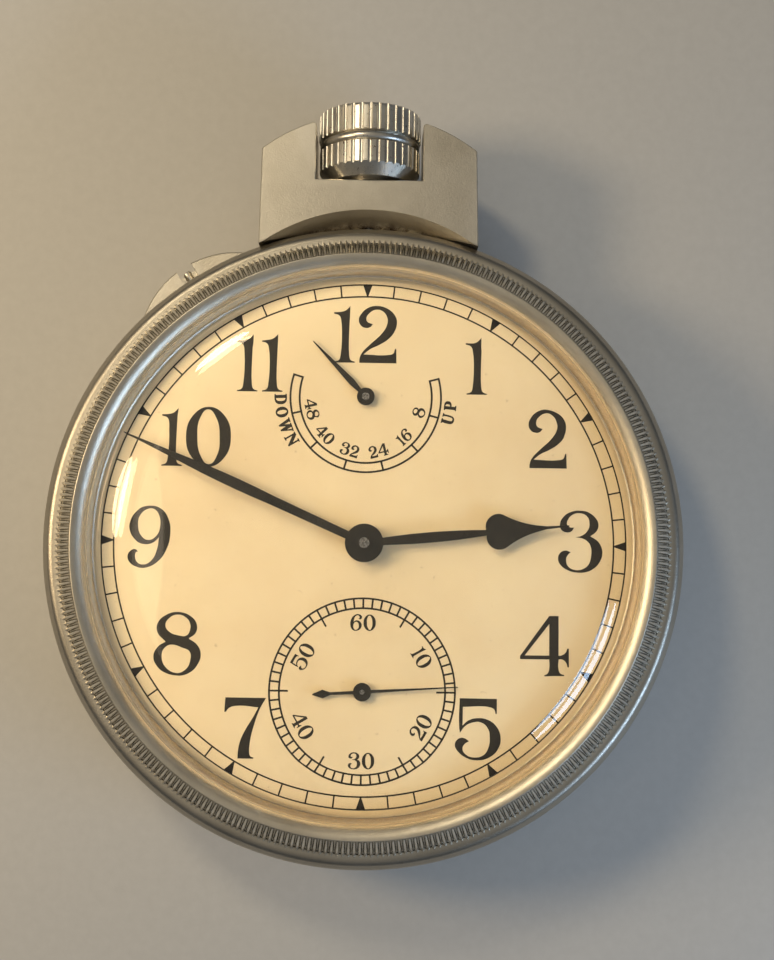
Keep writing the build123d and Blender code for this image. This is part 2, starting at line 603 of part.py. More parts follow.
def contrate_ring(teeth, outer, inner, height):
    """Face teeth standing on z = 0."""
    width = 0.42 * 2 * math.pi * inner / teeth
    bar = Pos((outer + inner) / 2, 0, height / 2) * Box(outer - inner, width, height)
    return [Rot(0, 0, 360 / teeth * k) * bar for k in range(teeth)]


def winding_pinion():
    body = toothed_disc(PINION_TEETH, 0.29, 0, 1.3, CENTRE, 0.0)
    body += cylinder(1.7, 1.3, 2.5)
    body = Pos(0, 24.2, STEM_Z) * Rot(-90, 0, 0) * body
    return body - along_y(0.93, 20, 30)


def clutch():
    body = along_y(1.7, 21.6, 23.6) + along_y(1.9, 19.6, 20.4) + along_y(1.1, 20.3, 21.7)
    return body - Pos(0, 21.5, STEM_Z) * Box(1.3, 6, 1.3)


def crown_wheel():
    base = cylinder(5.4, 7.3, 7.75, CROWN_WHEEL) + cylinder(1.3, 3.8, 7.4, CROWN_WHEEL)
    for tooth in contrate_ring(CROWN_WHEEL_TEETH, 5.4, 4.4, 0.5):
        base += Pos(*CROWN_WHEEL, 7.6) * tooth
    return base - cylinder(0.45, 2, 6, CROWN_WHEEL)


WINDING_PHASE = 0.0
RATCHET_PHASE = mesh_phase(WINDING_PHASE, WINDING_TEETH, CROWN_WHEEL, BARREL, RATCHET_TEETH)


def winding_wheel():
    body = toothed_disc(WINDING_TEETH, M_WINDING, 3.1, 3.8, CROWN_WHEEL, WINDING_PHASE)
    return body - cylinder(0.45, 0, 20, CROWN_WHEEL)


def ratchet_wheel():
    body = toothed_disc(RATCHET_TEETH, M_WINDING, 3.1, 3.8, BARREL, RATCHET_PHASE)
    return body - Pos(*BARREL, 3.5) * Box(1.6, 1.6, 3)


def ratchet_screw():
    return slotted_screw(BARREL, 2.4, 2.9, 5.4, 2.4, 0.45)


def crown_wheel_screw():
    return slotted_screw(CROWN_WHEEL, 2.5, 3.1, 5.4, 2.0, 0.45)


CLICK = polar(12.4, -25, BARREL)
CLICK_SPRING = polar(13.4, 5, BARREL)


def click():
    """Pawl beside the ratchet wheel, its nose just clear of the teeth."""
    nose = polar(M_WINDING * (RATCHET_TEETH / 2 + 0.8) + 0.48, -2, BARREL)
    shape = capsule(CLICK, nose, 0.8) + Pos(*CLICK) * Circle(1.3)
    return plate_of(shape, 3.1, 3.75) - cylinder(0.5, 0, 9, CLICK)


def click_spring():
    shape = capsule(CLICK_SPRING, polar(12.75, -14, BARREL), 0.25) + Pos(*CLICK_SPRING) * Circle(0.8)
    return plate_of(shape, 3.2, 3.7) + cylinder(0.4, 3.7, BRIDGE_Z[0] + 0.8, CLICK_SPRING)


SETTING_PIVOT = (-8.6, 23.2)
CLUTCH_PIVOT = (-3.9, 22.9)


def setting_lever():
    touch = polar(26.3, PIN_CLOCK)
    shape = capsule(SETTING_PIVOT, touch, 1.0) + Pos(*SETTING_PIVOT) * Circle(1.1)
    far = (-5.9, 23.9)
    shape += capsule(SETTING_PIVOT, far, 0.8)
    body = plate_of(shape, 9.5, 10.1) + cylinder(0.3, 10.0, 11.0, far)
    return body - cylinder(0.5, 0, 20, SETTING_PIVOT)


def clutch_lever():
    shape = capsule(CLUTCH_PIVOT, (-5.2, 24.9), 0.5) + Pos(*CLUTCH_PIVOT) * Circle(0.85)
    shape += capsule(CLUTCH_PIVOT, (-1.55, 21.0), 0.5)
    return plate_of(shape, 10.4, 11.0) - cylinder(0.4, 0, 20, CLUTCH_PIVOT)


# ---- plate, bridges, jewels and screws ---------------------------------------------
def main_plate():
    z0, z1 = PLATE_Z
    body = cylinder(PLATE_R, z0, z1) + ring(PLATE_R, 28.4, z1, DIAL_Z[0])
    body -= cylinder(0.62, 0, 20)
    for at in (THIRD, FOURTH, ESCAPE, PALLET, BALANCE):
        body -= cylinder(JEWEL_R, z0 - 1, z0 + 0.7, at) + cylinder(0.5, z0, z1 + 1, at)
    body -= cylinder(1.25, 0, 20, BARREL)
    for at in (MINUTE, SETTING_A, SETTING_B, IDLER, UPDOWN):
        body -= cylinder(0.43, z0 + 0.6, 20, at)
    for foot in DIAL_FEET:
        body -= cylinder(0.5, 12.4, 16, foot)
    for at in BARREL_FEET + TRAIN_FEET + [COCK_FOOT] + CASE_SCREWS:
        body -= cylinder(SCREW_R, 0, 13.0, at)
    for at in PALLET_FEET:
        body -= cylinder(PALLET_SCREW_R, 0, 13.0, at)
    for at, radius in ((SETTING_PIVOT, 0.47), (CLUTCH_PIVOT, 0.37)):
        body += cylinder(radius, 9.3, z0 + 0.1, at)
    # room for the stem, the sliding clutch and the winding pinion
    body -= block(-3.2, 3.2, 18.6, 27.6, z0 - 1, 13.95)
    body -= along_y(1.1, 17.0, 31.0)
    return body


def feet(places, radius=FOOT_R):
    return [cylinder(radius, BRIDGE_Z[1] - 0.1, PLATE_Z[0], at) for at in places]


def screw_holes(places, z_seat, radius=SCREW_R, head=HEAD_R):
    return [cylinder(radius, 0, 20, at) + cylinder(head, 0, z_seat, at) for at in places]


def parting_line(side, gap=0.2):
    """The half of the movement on one side of the joint between the two bridges."""
    slope, height = -0.286, 2.4
    far = 40.0
    corners = [(-far, -slope * far + height + side * gap), (far, slope * far + height + side * gap),
               (far, side * far), (-far, side * far)]
    return make_face(Polyline(*corners, close=True))


def barrel_bridge():
    body = plate_of(Circle(BRIDGE_R) & parting_line(1), *BRIDGE_Z)
    for foot in feet(BARREL_FEET):
        body += foot
    body -= screw_holes(BARREL_FEET, BRIDGE_Z[0] + 0.7)
    body -= cylinder(1.25, 0, 20, BARREL) + cylinder(1.35, 0, 20, CROWN_WHEEL)
    body -= cylinder(0.4, 0, BRIDGE_Z[0] + 0.8, CLICK_SPRING)
    return body + cylinder(0.47, 3.2, BRIDGE_Z[0] + 0.1, CLICK)


def train_bridge():
    shape = (Circle(BRIDGE_R) & parting_line(-1)) - Pos(*BALANCE) * Circle(BALANCE_R + 1.0)
    shape &= Pos(7.3, -15) * Rectangle(42, 60)
    body = plate_of(shape, *BRIDGE_Z)
    for foot in feet(TRAIN_FEET):
        body += foot
    body -= screw_holes(TRAIN_FEET, BRIDGE_Z[0] + 0.7)
    for at in (THIRD, FOURTH, ESCAPE):
        body -= cylinder(JEWEL_R, 0, BRIDGE_Z[0] + 0.8, at) + cylinder(0.5, 0, 20, at)
    return body - cylinder(0.62, 0, 20)


def balance_cock():
    foot = ring(BRIDGE_R, 26.0, COCK_Z[1] - 0.1, PLATE_Z[0])
    reach = bearing(CENTRE, BALANCE)
    sector = [CENTRE] + [polar(60, reach + side * 9) for side in (-1, 1)]
    foot &= plate_of(make_face(Polyline(*sector, close=True)), 0, 20)
    foot += cylinder(1.5, COCK_Z[1] - 0.1, PLATE_Z[0], COCK_FOOT) & cylinder(BRIDGE_R, 0, 20)
    left, right = (polar(BRIDGE_R - 0.2, reach + side * 9) for side in (-1, 1))
    near = [polar(2.6, reach + 90 * side, BALANCE) for side in (-1, 1)]
    top = make_face(Polyline(near[0], left, right, near[1], close=True)) + Pos(*BALANCE) * Circle(2.6)
    top &= Circle(BRIDGE_R)
    body = plate_of(top, *COCK_Z) + foot
    body -= screw_holes([COCK_FOOT], COCK_Z[0] + 0.7)
    return body - cylinder(1.15, 0, COCK_Z[1] + 1, BALANCE)


def pallet_bridge():
    body = plate_of(capsule(*PALLET_FEET, 2.0), 8.2, 9.2)
    for at in PALLET_FEET:
        body += cylinder(0.95, 9.1, PLATE_Z[0], at)
    body -= screw_holes(PALLET_FEET, 8.7, PALLET_SCREW_R, 0.8)
    return body - cylinder(JEWEL_R - 0.25, 0, 20, PALLET)


def plate_jewels():
    z0 = PLATE_Z[0]
    hole = {THIRD: PIVOT_R, FOURTH: PIVOT_R, ESCAPE: PIVOT_R, PALLET: PIVOT_R, BALANCE: 0.15}
    return [ring(JEWEL_R, radius + PIVOT_GAP, z0, z0 + 0.7, at) for at, radius in hole.items()]


def bridge_jewels():
    z0 = BRIDGE_Z[0]
    jewels = [ring(JEWEL_R, PIVOT_R + PIVOT_GAP, z0 + 0.1, z0 + 0.8, at) for at in (THIRD, FOURTH, ESCAPE)]
    return jewels + [ring(JEWEL_R - 0.25, PIVOT_R + PIVOT_GAP, 8.25, 9.1, PALLET)]


def cap_jewel():
    body = cylinder(1.6, 2.2, COCK_Z[0], BALANCE) + cylinder(1.15, COCK_Z[0] - 0.1, COCK_Z[1], BALANCE)
    return body - cylinder(0.17, 2.9, 5, BALANCE)


def bridge_screws():
    seat = BRIDGE_Z[0] + 0.7
    screws = [slotted_screw(at, BRIDGE_Z[0] + 0.1, seat, 13.0) for at in BARREL_FEET + TRAIN_FEET]
    screws.append(slotted_screw(COCK_FOOT, COCK_Z[0] + 0.1, COCK_Z[0] + 0.7, 13.0))
    return screws + [slotted_screw(at, 8.25, 8.7, 13.0, 0.8, 0.4) for at in PALLET_FEET]


def case_screws():
    return [slotted_screw(at, 9.2, 9.95, 13.0, 1.6) for at in CASE_SCREWS]


NODES = [
    case_band, crown_guard, pendant_sleeve, bezel, bezel_gasket, crystal, case_back, back_gasket,
    crown, setting_pin, dial, hour_hand, minute_hand, seconds_hand, updown_hand, cannon_pinion,
    hour_wheel, minute_wheel, setting_wheel, setting_transfer_wheel, indicator_idler,
    indicator_wheel, centre_wheel, third_wheel, fourth_wheel, escape_wheel, barrel_drum,
    barrel_cover, mainspring, barrel_arbor, pallet_fork, pallet_stones, balance_wheel,
    balance_screws, balance_staff, hairspring, regulator, stem, winding_pinion, clutch,
    crown_wheel, winding_wheel, ratchet_wheel, ratchet_screw, crown_wheel_screw, click,
    click_spring, setting_lever, clutch_lever, main_plate, barrel_bridge, train_bridge,
    balance_cock, pallet_bridge, plate_jewels, bridge_jewels, cap_jewel, bridge_screws,
    case_screws]

os.makedirs("parts", exist_ok=True)
for build in NODES:
    made = build()
    solids = made if isinstance(made, list) else made.solids()
    shape = solids[0] if len(solids) == 1 else Compound(children=list(solids))
    export_step(shape, f"parts/{build.__name__}.step")
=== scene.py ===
import math

import bmesh
import bpy
from mathutils import Matrix, Vector


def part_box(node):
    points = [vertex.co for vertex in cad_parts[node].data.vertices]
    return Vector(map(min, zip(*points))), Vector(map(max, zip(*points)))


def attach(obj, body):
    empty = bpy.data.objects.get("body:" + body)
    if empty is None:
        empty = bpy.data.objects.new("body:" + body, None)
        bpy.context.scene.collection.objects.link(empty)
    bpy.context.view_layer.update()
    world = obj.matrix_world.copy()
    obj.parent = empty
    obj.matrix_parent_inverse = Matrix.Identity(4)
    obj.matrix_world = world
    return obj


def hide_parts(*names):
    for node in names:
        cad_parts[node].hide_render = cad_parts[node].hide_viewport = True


# Looks of a deck watch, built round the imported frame. Lengths are millimetres
# until MM turns them into metres; the origin is the dial axis on the flat back.
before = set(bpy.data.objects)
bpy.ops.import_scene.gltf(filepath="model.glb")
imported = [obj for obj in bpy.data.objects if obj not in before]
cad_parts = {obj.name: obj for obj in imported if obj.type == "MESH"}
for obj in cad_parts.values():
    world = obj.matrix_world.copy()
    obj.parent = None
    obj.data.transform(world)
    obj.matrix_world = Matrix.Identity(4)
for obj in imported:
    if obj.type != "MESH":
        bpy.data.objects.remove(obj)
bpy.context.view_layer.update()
MM = 0.001

RIDGES = 340             # ridges of the milled edge of bezel and back
MILLED_R = 33.5          # foot of the milled bands
SMOOTH = 540             # columns of a smooth turned surface
PRINT_HEIGHT = 0.015     # thickness of the printed ink
FLOOR_GAP = 0.05         # room between the floor and the back
GLYPH_HEIGHT = 100       # height that the glyphs are drawn at


def size_of(node):
    """Lowest and highest corner of a CAD node, in millimetres."""
    low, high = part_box(node)
    return low / MM, high / MM


BEZEL_LOW, BEZEL_HIGH = size_of("bezel")
BACK_HIGH = size_of("case_back")[1]
CRYSTAL_LOW, CRYSTAL_HIGH = size_of("crystal")
DIAL_TOP = size_of("dial")[1].z
FOURTH = sum(size_of("fourth_wheel"), Vector((0, 0, 0))).to_2d() / 2
UPDOWN = sum(size_of("indicator_wheel"), Vector((0, 0, 0))).to_2d() / 2


# ---- mesh helpers -----------------------------------------------------------
def on_clock(radius, degrees, centre=(0.0, 0.0)):
    """The point at a clock angle, 0 at 12 and growing clockwise."""
    turn = math.radians(degrees)
    return centre[0] + radius * math.sin(turn), centre[1] + radius * math.cos(turn)


def arc(start, via, end, steps):
    """Points after start on the circle through three points, the last being end."""
    ax, ay, bx, by = via[0] - start[0], via[1] - start[1], end[0] - start[0], end[1] - start[1]
    cross = 2 * (ax * by - ay * bx)
    a2, b2 = ax * ax + ay * ay, bx * bx + by * by
    centre = (start[0] + (by * a2 - ay * b2) / cross, start[1] + (ax * b2 - bx * a2) / cross)
    radius = math.dist(centre, start)
    angles = [math.atan2(p[1] - centre[1], p[0] - centre[0]) for p in (start, via, end)]
    turn = 2 * math.pi
    if cross > 0:
        sweep = (angles[2] - angles[0]) % turn
    else:
        sweep = -((angles[0] - angles[2]) % turn)
    return [(centre[0] + radius * math.cos(angles[0] + sweep * k / steps),
             centre[1] + radius * math.sin(angles[0] + sweep * k / steps))
            for k in range(1, steps + 1)]


def profile_of(points, steps=10):
    """Profile points, where a pair of points stands for an arc via the first to the second."""
    profile = [points[0]]
    for step in points[1:]:
        if isinstance(step[0], tuple):
            profile += arc(profile[-1], step[0], step[1], steps)
        else:
            profile.append(step)
    return profile


def grid_of_rings(bm, rings, closed_profile=True):
    """Quads between rings of equal length; rings run round the axis."""
    rows = [[bm.verts.new(Vector(p) * MM) for p in ring] for ring in rings]
    count = len(rows[0])
    pairs = zip(rows, rows[1:] + rows[:1]) if closed_profile else zip(rows, rows[1:])
    for lower, upper in pairs:
        for k in range(count):
            after = (k + 1) % count
            bm.faces.new((lower[k], lower[after], upper[after], upper[k]))
    return rows


def turned(bm, profile):
    """A closed ring: a profile of (radius, height) points turned about Z."""
    rings = [[(*on_clock(radius, 360 * k / SMOOTH), height) for k in range(SMOOTH)]
             for radius, height in profile]
    grid_of_rings(bm, rings)


def turned_disc(bm, profile, columns=SMOOTH):
    """A closed body whose profile starts and ends on the axis."""
    rings = [[(*on_clock(radius, 360 * k / columns), height) for k in range(columns)]
             for radius, height in profile[1:-1]]
    rows = grid_of_rings(bm, rings, closed_profile=False)
    for row, (_, height) in ((rows[0], profile[0]), (rows[-1], profile[-1])):
        tip = bm.verts.new(Vector((0, 0, height)) * MM)
        for k in range(columns):
            bm.faces.new((row[k], row[(k + 1) % columns], tip))


def prism(bm, outline, z0, z1):
    """An outline of (x, y) points drawn out from one height to another."""
    bottom = [bm.verts.new(Vector((x, y, z0)) * MM) for x, y in outline]
    top = [bm.verts.new(Vector((x, y, z1)) * MM) for x, y in outline]
    bm.faces.new(bottom)
    bm.faces.new(top)
    for k in range(len(outline)):
        after = (k + 1) % len(outline)
        bm.faces.new((bottom[k], bottom[after], top[after], top[k]))


def band(bm, inner, outer, z0, z1, centre=(0.0, 0.0), start=0.0, end=360.0, steps=240):
    """A flat ring, or part of one, from one clock angle to another."""
    whole = end - start >= 360
    count = steps if whole else steps + 1
    angles = [start + (end - start) * k / steps for k in range(count)]
    rings = [[(*on_clock(radius, a, centre), z) for a in angles]
             for radius, z in ((inner, z0), (outer, z0), (outer, z1), (inner, z1))]
    if whole:
        grid_of_rings(bm, rings)
        return
    rows = [[bm.verts.new(Vector(p) * MM) for p in ring] for ring in rings]
    for lower, upper in zip(rows, rows[1:] + rows[:1]):
        for k in range(count - 1):
            bm.faces.new((lower[k], lower[k + 1], upper[k + 1], upper[k]))
    for k in (0, count - 1):
        bm.faces.new([row[k] for row in rows])


def finish_mesh(bm, name, body, *materials, sharp_degrees=40):
    """The built mesh as an object that rides on a CAD body."""
    bmesh.ops.recalc_face_normals(bm, faces=bm.faces)
    mesh = bpy.data.meshes.new(name)
    bm.to_mesh(mesh)
    bm.free()
    mesh.shade_smooth()
    mesh.set_sharp_from_angle(angle=math.radians(sharp_degrees))
    for material in materials:
        mesh.materials.append(material)
    piece = bpy.data.objects.new(name, mesh)
    bpy.context.scene.collection.objects.link(piece)
    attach(piece, body)
    return piece


# ---- materials ----------------------------------------------------------------
class Paint:
    """A node material with short calls for the nodes used here."""

    def __init__(self, name):
        self.material = bpy.data.materials.new(name)
        self.material.use_nodes = True
        self.tree = self.material.node_tree
        self.shader = self.tree.nodes["Principled BSDF"]
        self.place = self.tree.nodes.new("ShaderNodeTexCoord").outputs["Object"]

    def node(self, kind, inputs=None, **settings):
        made = self.tree.nodes.new(kind)
        for key, value in settings.items():
            setattr(made, key, value)
        for key, value in (inputs or {}).items():
            self.put(made.inputs[key], value)
        return made

    def put(self, socket, value):
        if isinstance(value, bpy.types.NodeSocket):
            self.tree.links.new(value, socket)
        else:
            socket.default_value = value

    def noise(self, per_mm, detail=4.0, rough=0.6, stretch=(1, 1, 1)):
        place = self.node("ShaderNodeMapping", {"Vector": self.place, "Scale": stretch}).outputs[0]
        made = self.node("ShaderNodeTexNoise", {
            "Vector": place, "Scale": per_mm / MM, "Detail": detail, "Roughness": rough})
        return made.outputs["Fac"]

    def ramp(self, factor, stops):
        """A colour ramp; stops are (position, colour)."""
        made = self.node("ShaderNodeValToRGB", {"Fac": factor})
        elements = made.color_ramp.elements
        while len(elements) < len(stops):
            elements.new(0.5)
        for element, (position, colour) in zip(elements, stops):
            element.position = position
            element.color = (*colour, 1)
        return made.outputs["Color"]

    def span(self, factor, low, high, to_low, to_high):
        """The factor carried from one range to another, and clamped there."""
        return self.node("ShaderNodeMapRange", {
            "Value": factor, "From Min": low, "From Max": high,
            "To Min": to_low, "To Max": to_high}).outputs[0]

    def maths(self, kind, a, b=0.0):
        made = self.node("ShaderNodeMath", operation=kind)
        self.put(made.inputs[0], a)
        self.put(made.inputs[1], b)
        return made.outputs[0]

    def mix(self, factor, a, b):
        made = self.node("ShaderNodeMix", data_type="RGBA")
        self.put(made.inputs[0], factor)
        for socket, value in ((made.inputs[6], a), (made.inputs[7], b)):
            self.put(socket, (*value, 1) if isinstance(value, tuple) else value)
        return made.outputs[2]

    def times(self, product, *factors):
        for factor in factors:
            product = self.maths("MULTIPLY", product, factor)
        return product

    def bump(self, height, depth_mm):
        made = self.node("ShaderNodeBump", {"Height": height, "Distance": depth_mm * MM})
        return made.outputs["Normal"]

    def coordinates(self):
        """Object-space x, y and z in millimetres."""
        split = self.node("ShaderNodeSeparateXYZ", {"Vector": self.place})
        return [self.times(split.outputs[k], 1 / MM) for k in range(3)]

    def set(self, **values):
        for name, value in values.items():
            if isinstance(value, tuple):
                value = (*value, 1)
            self.put(self.shader.inputs[name.replace("_", " ")], value)
        return self.material


def flange_dullness(paint, radius, z):
    """Half on the flange of the bezel, where painted shade makes it darker than the rest of the case,
    and 0 elsewhere.
    """
    past_ridges = paint.span(radius, 33.4, 33.9, 0.0, 0.5)
    short_of_guard = paint.span(radius, 35.35, 35.6, 1.0, 0.0)
    return paint.times(past_ridges, short_of_guard, paint.span(z, 12.0, 12.4, 0.0, 1.0))


def joint_grime(paint, radius, y, z):
    """Crumbs of old dirt in the joint between the guard and the bezel, from 0 to 1."""
    near_bezel = paint.span(radius, 35.5, 36.6, 1.0, 0.0)
    at_guard = paint.span(y, 33.5, 34.5, 0.0, 1.0)
    above_base = paint.span(z, 11.4, 11.6, 0.0, 1.0)
    low = paint.span(z, 12.2, 13.3, 1.0, 0.0)
    crumbs = paint.span(paint.noise(1.1, 6, 0.75), 0.46, 0.58, 0.0, 1.0)
    return paint.times(low, above_base, near_bezel, at_guard, crumbs)


def blasted_nickel():
    """Fine bead-blasted nickel alloy, a little stained, brighter on worn edges, with painted shade on
    the flange of the bezel.
    """
    paint = Paint("blasted_nickel")
    x, y, z = paint.coordinates()
    radius = paint.maths("SQRT", paint.maths("ADD", paint.times(x, x), paint.times(y, y)))
    colour = paint.ramp(paint.noise(0.11, 5, 0.65), [
        (0.3, (0.55, 0.505, 0.42)), (0.55, (0.66, 0.615, 0.525)), (0.75, (0.74, 0.70, 0.61))])
    edge = paint.node("ShaderNodeNewGeometry").outputs["Pointiness"]
    colour = paint.mix(paint.span(edge, 0.53, 0.62, 0.0, 0.55), colour, (0.78, 0.75, 0.68))
    # painted shade: the flange of the bezel is darkened
    colour = paint.mix(flange_dullness(paint, radius, z), colour, (0.24, 0.22, 0.19))
    grime = joint_grime(paint, radius, y, z)
    colour = paint.mix(grime, colour, (0.10, 0.06, 0.03))
    grain = paint.noise(5.5, 3, 0.7)
    rough = paint.maths("ADD", paint.span(grain, 0.3, 0.7, 0.30, 0.46), paint.times(grime, 0.4))
    return paint.set(Base_Color=colour, Metallic=1.0, Roughness=rough,
                     Normal=paint.bump(grain, 0.02))


def bright_nickel(name, rough_low, rough_high, pitting):
    """Polished nickel with fine hairlines, and corrosion pits as dark as the pitting says."""
    paint = Paint(name)
    tone = paint.ramp(paint.noise(0.3, 4), [(0.3, (0.60, 0.57, 0.51)), (0.7, (0.78, 0.76, 0.70))])
    pit = paint.span(paint.noise(2.6, 3, 0.6), 0.66, 0.70, 0.0, pitting)
    colour = paint.mix(pit, tone, (0.12, 0.09, 0.06))
    hair = paint.noise(3.0, 3, 0.7, (1, 1, 8))
    rough = paint.span(hair, 0.3, 0.7, rough_low, rough_high)
    rough = paint.maths("ADD", rough, paint.times(pit, 0.3))
    return paint.set(Base_Color=colour, Metallic=1.0, Roughness=rough,
                     Normal=paint.bump(hair, 0.003))


def plain_metal(name, dark, light, rough, tip=None):
    """Machined metal: two tones and a fine grain, with another tone above the dial if given."""
    paint = Paint(name)
    colour = paint.ramp(paint.noise(0.375, 4), [(0.3, dark), (0.7, light)])
    if tip:
        above = paint.span(paint.coordinates()[2], DIAL_TOP - 0.1, DIAL_TOP, 0.0, 1.0)
        colour = paint.mix(above, colour, tip)
    grain = paint.noise(6.0, 3, 0.6)
    return paint.set(Base_Color=colour, Metallic=1.0, Roughness=paint.span(grain, 0.3, 0.7, *rough),
                     Normal=paint.bump(grain, 0.003))


def striped_plate():
    """Nickel plates with the broad polished stripes of a finished movement."""
    paint = Paint("striped_plate")
    stripes = paint.node("ShaderNodeTexWave", {
        "Vector": paint.place, "Scale": 0.16 / MM, "Distortion": 0.4, "Detail": 1.0},
        bands_direction="DIAGONAL").outputs["Fac"]
    fine = paint.noise(3.0, 3, 0.6, (1, 6, 1))
    colour = paint.ramp(stripes, [(0.1, (0.60, 0.585, 0.55)), (0.9, (0.74, 0.73, 0.70))])
    rough = paint.span(stripes, 0, 1, 0.18, 0.34)
    rough = paint.maths("ADD", rough, paint.span(fine, 0.3, 0.7, 0.0, 0.08))
    return paint.set(Base_Color=colour, Metallic=1.0, Roughness=rough,
                     Normal=paint.bump(fine, 0.003))


def dial_enamel():
    """Silvered dial, aged to a warm cream, with a faint mottle and fine grain."""
    paint = Paint("dial_cream")
    cloud = paint.noise(0.06, 5, 0.6)
    mottle = paint.noise(0.9, 4, 0.6)
    colour = paint.ramp(cloud, [(0.3, (0.76, 0.615, 0.385)), (0.7, (0.84, 0.71, 0.465))])
    specks = paint.span(paint.noise(2.2, 2, 0.5), 0.70, 0.74, 0.0, 0.35)
    colour = paint.mix(specks, colour, (0.42, 0.30, 0.17))
    colour = paint.mix(paint.span(mottle, 0.35, 0.65, 0.0, 0.10), colour, (0.90, 0.78, 0.60))
    grain = paint.noise(14.0, 2, 0.6)
    return paint.set(Base_Color=colour, Metallic=0.0, Roughness=paint.span(mottle, 0.3, 0.7, 0.38, 0.5),
                     Normal=paint.bump(grain, 0.004))


def dial_ink():
    """Thick black-brown printing ink, slightly uneven."""
    paint = Paint("dial_ink")
    wear = paint.noise(3.5, 4, 0.7)
    colour = paint.ramp(wear, [(0.35, (0.009, 0.007, 0.004)), (0.72, (0.028, 0.022, 0.013))])
    paint.shader.inputs["Specular IOR Level"].default_value = 0.3
    return paint.set(Base_Color=colour, Roughness=paint.span(wear, 0.3, 0.7, 0.35, 0.55),
                     Normal=paint.bump(wear, 0.004))


def clear_crystal():
    """Clear acrylic: refracts, and lets lamps through to the dial."""
    paint = Paint("clear_acrylic")
    dust = paint.span(paint.noise(1.4, 4, 0.7), 0.60, 0.75, 0.0, 1.0)
    scratches = paint.noise(1.2, 2, 0.5, (1, 14, 1))
    paint.set(Base_Color=(0.985, 0.98, 0.965), Roughness=paint.span(dust, 0, 1, 0.004, 0.03),
              IOR=1.49, Transmission_Weight=1.0, Normal=paint.bump(scratches, 0.0001))
    shadow = paint.node("ShaderNodeLightPath").outputs["Is Shadow Ray"]
    clear = paint.node("ShaderNodeBsdfTransparent", {"Color": (0.95, 0.945, 0.93, 1)})
    both = paint.node("ShaderNodeMixShader", {
        0: shadow, 1: paint.shader.outputs[0], 2: clear.outputs[0]})
    paint.put(paint.tree.nodes["Material Output"].inputs["Surface"], both.outputs[0])
    return paint.material


def red_jewel():
    """Polished synthetic ruby."""
    paint = Paint("ruby_jewel")
    colour = paint.ramp(paint.noise(0.8, 4), [(0.3, (0.35, 0.01, 0.03)), (0.7, (0.60, 0.03, 0.08))])
    return paint.set(Base_Color=colour, Roughness=0.08, IOR=1.76, Transmission_Weight=0.4,
                     Normal=paint.bump(paint.noise(6.0), 0.001))


def rubber_washer():
    """Dark washer with a coarse grain."""
    paint = Paint("washer_fibre")
    grain = paint.noise(6.0, 4, 0.7)
    colour = paint.ramp(grain, [(0.3, (0.05, 0.035, 0.025)), (0.7, (0.11, 0.08, 0.055))])
    return paint.set(Base_Color=colour, Roughness=paint.span(grain, 0.3, 0.7, 0.6, 0.8),
                     Normal=paint.bump(grain, 0.01))


def groove_dirt():
    """Dark wax and dust at the bottom of the milled grooves, darkened further by painted shade."""
    paint = Paint("groove_dirt")
    cloud = paint.noise(2.0, 4, 0.7)
    colour = paint.ramp(cloud, [(0.3, (0.030, 0.026, 0.018)), (0.7, (0.085, 0.075, 0.055))])
    return paint.set(Base_Color=colour, Roughness=0.75, Normal=paint.bump(cloud, 0.01))


def seat_cement():
    """Old cement between the foot of the crystal and its seat, seen through the crystal."""
    paint = Paint("seat_cement")
    cloud = paint.noise(0.7, 4, 0.6)
    colour = paint.ramp(cloud, [(0.3, (0.66, 0.54, 0.36)), (0.7, (0.76, 0.63, 0.43))])
    return paint.set(Base_Color=colour, Roughness=0.7, Normal=paint.bump(cloud, 0.01))


NICKEL = blasted_nickel()
# finishes of the CAD nodes, by the name of the slot
FINISHES = {
    "nickel_case": NICKEL,
    "polished_nickel": bright_nickel("polished_nickel", 0.26, 0.40, 1.0),
    "crystal": clear_crystal(),
    "dial": dial_enamel(),
    "hands": plain_metal("dark_hands", (0.065, 0.060, 0.050), (0.15, 0.135, 0.11), (0.14, 0.26)),
    "steel": plain_metal("polished_steel", (0.50, 0.50, 0.50), (0.66, 0.66, 0.65), (0.14, 0.28)),
    "brass": plain_metal("gilt_brass", (0.62, 0.44, 0.18), (0.78, 0.58, 0.27), (0.2, 0.34),
                         tip=(0.42, 0.41, 0.39)),
    "plate": striped_plate(),
    "ruby": red_jewel(),
    "washer": rubber_washer(),
    "spring_steel": plain_metal("blued_spring", (0.06, 0.09, 0.20), (0.12, 0.17, 0.32), (0.2, 0.3)),
}
MILLED = bright_nickel("milled_nickel", 0.16, 0.28, 0.3)
# dirt and painted shade along the bottoms of the grooves
GROOVE = groove_dirt()
CEMENT = seat_cement()
INK = dial_ink()

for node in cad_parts.values():
    for slot in node.material_slots:
        slot.material = FINISHES[slot.material.name]


# ---- bezel, back and crystal ----------------------------------------------------
def milled_band(bm, crest, cut, core):
    """A milled band: rounded ridges along a profile, and grooves cut into it along a vector.

    The faces along the bottom of the grooves take the third material, the others the second."""
    steps = 12                  # columns from ridge to ridge
    groove = range(4, 8)        # columns along the bottom of a groove
    count = RIDGES * steps
    clocks = [360 * k / count for k in range(count)]
    depths = [(1 - math.cos(2 * math.pi * k / steps)) / 2 for k in range(steps)] * RIDGES
    rings = [[(*on_clock(radius + depth * cut[0], clock), height + depth * cut[1])
              for clock, depth in zip(clocks, depths)] for radius, height in crest]
    rings += [[(*on_clock(radius, clock), height) for clock in clocks] for radius, height in core]
    first = len(bm.faces)
    grid_of_rings(bm, rings)
    bm.faces.ensure_lookup_table()
    for index, face in enumerate(bm.faces[first:]):
        on_crest = index // count < len(crest) - 1
        face.material_index = 2 if on_crest and index % steps in groove else 1


